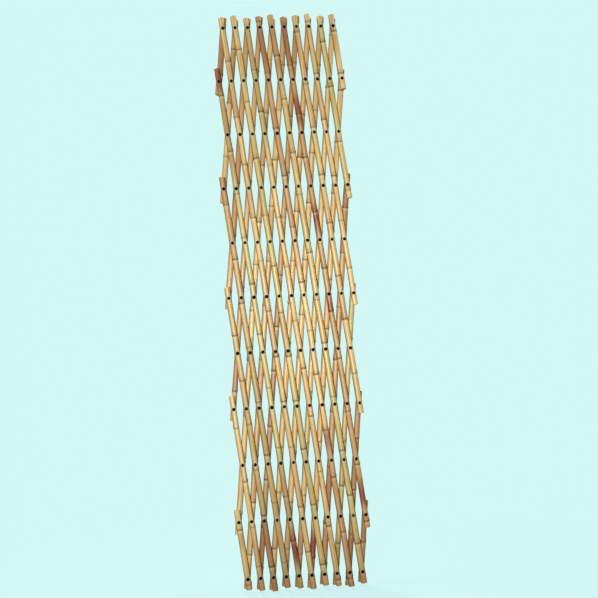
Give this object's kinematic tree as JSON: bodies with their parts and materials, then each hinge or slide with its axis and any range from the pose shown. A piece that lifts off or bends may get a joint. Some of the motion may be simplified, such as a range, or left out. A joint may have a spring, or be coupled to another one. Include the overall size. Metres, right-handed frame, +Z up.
{
  "type": "expanding bamboo fence panel",
  "caption": "Expanding bamboo trellis panel: two layers of crossed canes, riveted at every crossing, that spreads wide or folds narrow as one scissor lattice.",
  "frame": {"origin": "on the ground line under the middle of the panel, between the two layers of canes", "axes": "+Z up, +X along the panel to the right as seen from the front, the front faces -Y"},
  "size_m": [0.4247, 0.0436, 1.8284],
  "materials": {
    "straw_bamboo": "satin",
    "honey_bamboo": "satin",
    "russet_bamboo": "satin",
    "olive_bamboo": "satin",
    "black_rivet": "satin"
  },
  "bodies": {
    "back_cane_01": {"back_cane_01": "honey_bamboo"},
    "back_cane_02": {"back_cane_02": "honey_bamboo"},
    "back_cane_03": {"back_cane_03": "honey_bamboo"},
    "back_cane_04": {"back_cane_04": "honey_bamboo"},
    "back_cane_05": {"back_cane_05": "honey_bamboo"},
    "back_cane_06": {"back_cane_06": "honey_bamboo"},
    "back_cane_07": {"back_cane_07": "honey_bamboo"},
    "back_cane_08": {"back_cane_08": "honey_bamboo"},
    "back_cane_09": {"back_cane_09": "honey_bamboo"},
    "back_cane_10": {"back_cane_10": "honey_bamboo"},
    "back_cane_11": {"back_cane_11": "russet_bamboo"},
    "back_cane_12": {"back_cane_12": "honey_bamboo"},
    "back_cane_13": {"back_cane_13": "honey_bamboo"},
    "back_cane_14": {"back_cane_14": "honey_bamboo"},
    "back_cane_15": {"back_cane_15": "honey_bamboo"},
    "front_cane_01": {"front_cane_01": "straw_bamboo", "rivets_01": "black_rivet"},
    "front_cane_02": {"front_cane_02": "straw_bamboo", "rivets_02": "black_rivet"},
    "front_cane_03": {"front_cane_03": "olive_bamboo", "rivets_03": "black_rivet"},
    "front_cane_04": {"front_cane_04": "straw_bamboo", "rivets_04": "black_rivet"},
    "front_cane_05": {"front_cane_05": "straw_bamboo", "rivets_05": "black_rivet"},
    "front_cane_06": {"front_cane_06": "straw_bamboo", "rivets_06": "black_rivet"},
    "front_cane_07": {"front_cane_07": "olive_bamboo", "rivets_07": "black_rivet"},
    "front_cane_08": {"front_cane_08": "straw_bamboo", "rivets_08": "black_rivet"},
    "front_cane_09": {"front_cane_09": "straw_bamboo", "rivets_09": "black_rivet"},
    "front_cane_10": {"front_cane_10": "straw_bamboo", "rivets_10": "black_rivet"},
    "front_cane_11": {"front_cane_11": "russet_bamboo", "rivets_11": "black_rivet"},
    "front_cane_12": {"front_cane_12": "straw_bamboo", "rivets_12": "black_rivet"},
    "front_cane_13": {"front_cane_13": "straw_bamboo", "rivets_13": "black_rivet"},
    "front_cane_14": {"front_cane_14": "olive_bamboo", "rivets_14": "black_rivet"},
    "front_cane_15": {"front_cane_15": "straw_bamboo", "rivets_15": "black_rivet"}
  },
  "joints": [
    {"name": "lattice_spread", "type": "hinge", "parent": "back_cane_08", "child": "front_cane_08", "pos_m": [0, 0, 0.91463], "axis": [0, -1, 0], "range_deg": [-5.5, 77]},
    {"name": "front_cane_03_pivot", "type": "hinge", "parent": "back_cane_08", "child": "front_cane_03", "pos_m": [-0.09905, 0, 0.04525], "axis": [0, -1, 0], "range_deg": [-5.5, 77]},
    {"name": "front_cane_04_pivot", "type": "hinge", "parent": "back_cane_08", "child": "front_cane_04", "pos_m": [-0.07924, 0, 0.21913], "axis": [0, -1, 0], "range_deg": [-5.5, 77]},
    {"name": "front_cane_05_pivot", "type": "hinge", "parent": "back_cane_08", "child": "front_cane_05", "pos_m": [-0.05943, 0, 0.39301], "axis": [0, -1, 0], "range_deg": [-5.5, 77]},
    {"name": "front_cane_06_pivot", "type": "hinge", "parent": "back_cane_08", "child": "front_cane_06", "pos_m": [-0.03962, 0, 0.56688], "axis": [0, -1, 0], "range_deg": [-5.5, 77]},
    {"name": "front_cane_07_pivot", "type": "hinge", "parent": "back_cane_08", "child": "front_cane_07", "pos_m": [-0.01981, 0, 0.74076], "axis": [0, -1, 0], "range_deg": [-5.5, 77]},
    {"name": "front_cane_09_pivot", "type": "hinge", "parent": "back_cane_08", "child": "front_cane_09", "pos_m": [0.01981, 0, 1.08851], "axis": [0, -1, 0], "range_deg": [-5.5, 77]},
    {"name": "front_cane_10_pivot", "type": "hinge", "parent": "back_cane_08", "child": "front_cane_10", "pos_m": [0.03962, 0, 1.26238], "axis": [0, -1, 0], "range_deg": [-5.5, 77]},
    {"name": "front_cane_11_pivot", "type": "hinge", "parent": "back_cane_08", "child": "front_cane_11", "pos_m": [0.05943, 0, 1.43626], "axis": [0, -1, 0], "range_deg": [-5.5, 77]},
    {"name": "front_cane_12_pivot", "type": "hinge", "parent": "back_cane_08", "child": "front_cane_12", "pos_m": [0.07924, 0, 1.61013], "axis": [0, -1, 0], "range_deg": [-5.5, 77]},
    {"name": "front_cane_13_pivot", "type": "hinge", "parent": "back_cane_08", "child": "front_cane_13", "pos_m": [0.09905, 0, 1.78401], "axis": [0, -1, 0], "range_deg": [-5.5, 77]},
    {"name": "back_cane_03_pivot", "type": "hinge", "parent": "front_cane_08", "child": "back_cane_03", "pos_m": [-0.09905, 0, 1.78401], "axis": [0, 1, 0], "range_deg": [-5.5, 77]},
    {"name": "back_cane_04_pivot", "type": "hinge", "parent": "front_cane_08", "child": "back_cane_04", "pos_m": [-0.07924, 0, 1.61013], "axis": [0, 1, 0], "range_deg": [-5.5, 77]},
    {"name": "back_cane_05_pivot", "type": "hinge", "parent": "front_cane_08", "child": "back_cane_05", "pos_m": [-0.05943, 0, 1.43626], "axis": [0, 1, 0], "range_deg": [-5.5, 77]},
    {"name": "back_cane_06_pivot", "type": "hinge", "parent": "front_cane_08", "child": "back_cane_06", "pos_m": [-0.03962, 0, 1.26238], "axis": [0, 1, 0], "range_deg": [-5.5, 77]},
    {"name": "back_cane_07_pivot", "type": "hinge", "parent": "front_cane_08", "child": "back_cane_07", "pos_m": [-0.01981, 0, 1.08851], "axis": [0, 1, 0], "range_deg": [-5.5, 77]},
    {"name": "back_cane_09_pivot", "type": "hinge", "parent": "front_cane_08", "child": "back_cane_09", "pos_m": [0.01981, 0, 0.74076], "axis": [0, 1, 0], "range_deg": [-5.5, 77]},
    {"name": "back_cane_10_pivot", "type": "hinge", "parent": "front_cane_08", "child": "back_cane_10", "pos_m": [0.03962, 0, 0.56688], "axis": [0, 1, 0], "range_deg": [-5.5, 77]},
    {"name": "back_cane_11_pivot", "type": "hinge", "parent": "front_cane_08", "child": "back_cane_11", "pos_m": [0.05943, 0, 0.39301], "axis": [0, 1, 0], "range_deg": [-5.5, 77]},
    {"name": "back_cane_12_pivot", "type": "hinge", "parent": "front_cane_08", "child": "back_cane_12", "pos_m": [0.07924, 0, 0.21913], "axis": [0, 1, 0], "range_deg": [-5.5, 77]},
    {"name": "back_cane_13_pivot", "type": "hinge", "parent": "front_cane_08", "child": "back_cane_13", "pos_m": [0.09905, 0, 0.04525], "axis": [0, 1, 0], "range_deg": [-5.5, 77]},
    {"name": "front_cane_01_pivot", "type": "hinge", "parent": "back_cane_06", "child": "front_cane_01", "pos_m": [-0.1783, 0, 0.04525], "axis": [0, -1, 0], "range_deg": [-5.5, 77]},
    {"name": "front_cane_02_pivot", "type": "hinge", "parent": "back_cane_07", "child": "front_cane_02", "pos_m": [-0.13867, 0, 0.04525], "axis": [0, -1, 0], "range_deg": [-5.5, 77]},
    {"name": "front_cane_14_pivot", "type": "hinge", "parent": "back_cane_09", "child": "front_cane_14", "pos_m": [0.13867, 0, 1.78401], "axis": [0, -1, 0], "range_deg": [-5.5, 77]},
    {"name": "front_cane_15_pivot", "type": "hinge", "parent": "back_cane_10", "child": "front_cane_15", "pos_m": [0.1783, 0, 1.78401], "axis": [0, -1, 0], "range_deg": [-5.5, 77]},
    {"name": "back_cane_01_pivot", "type": "hinge", "parent": "front_cane_06", "child": "back_cane_01", "pos_m": [-0.1783, 0, 1.78401], "axis": [0, 1, 0], "range_deg": [-5.5, 77]},
    {"name": "back_cane_02_pivot", "type": "hinge", "parent": "front_cane_07", "child": "back_cane_02", "pos_m": [-0.13867, 0, 1.78401], "axis": [0, 1, 0], "range_deg": [-5.5, 77]},
    {"name": "back_cane_14_pivot", "type": "hinge", "parent": "front_cane_09", "child": "back_cane_14", "pos_m": [0.13867, 0, 0.04525], "axis": [0, 1, 0], "range_deg": [-5.5, 77]},
    {"name": "back_cane_15_pivot", "type": "hinge", "parent": "front_cane_10", "child": "back_cane_15", "pos_m": [0.1783, 0, 0.04525], "axis": [0, 1, 0], "range_deg": [-5.5, 77]}
  ],
  "couplings": [
    {"joint": "front_cane_03_pivot", "follows": "lattice_spread", "ratio": 1},
    {"joint": "front_cane_04_pivot", "follows": "lattice_spread", "ratio": 1},
    {"joint": "front_cane_05_pivot", "follows": "lattice_spread", "ratio": 1},
    {"joint": "front_cane_06_pivot", "follows": "lattice_spread", "ratio": 1},
    {"joint": "front_cane_07_pivot", "follows": "lattice_spread", "ratio": 1},
    {"joint": "front_cane_09_pivot", "follows": "lattice_spread", "ratio": 1},
    {"joint": "front_cane_10_pivot", "follows": "lattice_spread", "ratio": 1},
    {"joint": "front_cane_11_pivot", "follows": "lattice_spread", "ratio": 1},
    {"joint": "front_cane_12_pivot", "follows": "lattice_spread", "ratio": 1},
    {"joint": "front_cane_13_pivot", "follows": "lattice_spread", "ratio": 1},
    {"joint": "back_cane_03_pivot", "follows": "lattice_spread", "ratio": 1},
    {"joint": "back_cane_04_pivot", "follows": "lattice_spread", "ratio": 1},
    {"joint": "back_cane_05_pivot", "follows": "lattice_spread", "ratio": 1},
    {"joint": "back_cane_06_pivot", "follows": "lattice_spread", "ratio": 1},
    {"joint": "back_cane_07_pivot", "follows": "lattice_spread", "ratio": 1},
    {"joint": "back_cane_09_pivot", "follows": "lattice_spread", "ratio": 1},
    {"joint": "back_cane_10_pivot", "follows": "lattice_spread", "ratio": 1},
    {"joint": "back_cane_11_pivot", "follows": "lattice_spread", "ratio": 1},
    {"joint": "back_cane_12_pivot", "follows": "lattice_spread", "ratio": 1},
    {"joint": "back_cane_13_pivot", "follows": "lattice_spread", "ratio": 1},
    {"joint": "front_cane_01_pivot", "follows": "lattice_spread", "ratio": 1},
    {"joint": "front_cane_02_pivot", "follows": "lattice_spread", "ratio": 1},
    {"joint": "front_cane_14_pivot", "follows": "lattice_spread", "ratio": 1},
    {"joint": "front_cane_15_pivot", "follows": "lattice_spread", "ratio": 1},
    {"joint": "back_cane_01_pivot", "follows": "lattice_spread", "ratio": 1},
    {"joint": "back_cane_02_pivot", "follows": "lattice_spread", "ratio": 1},
    {"joint": "back_cane_14_pivot", "follows": "lattice_spread", "ratio": 1},
    {"joint": "back_cane_15_pivot", "follows": "lattice_spread", "ratio": 1}
  ]
}
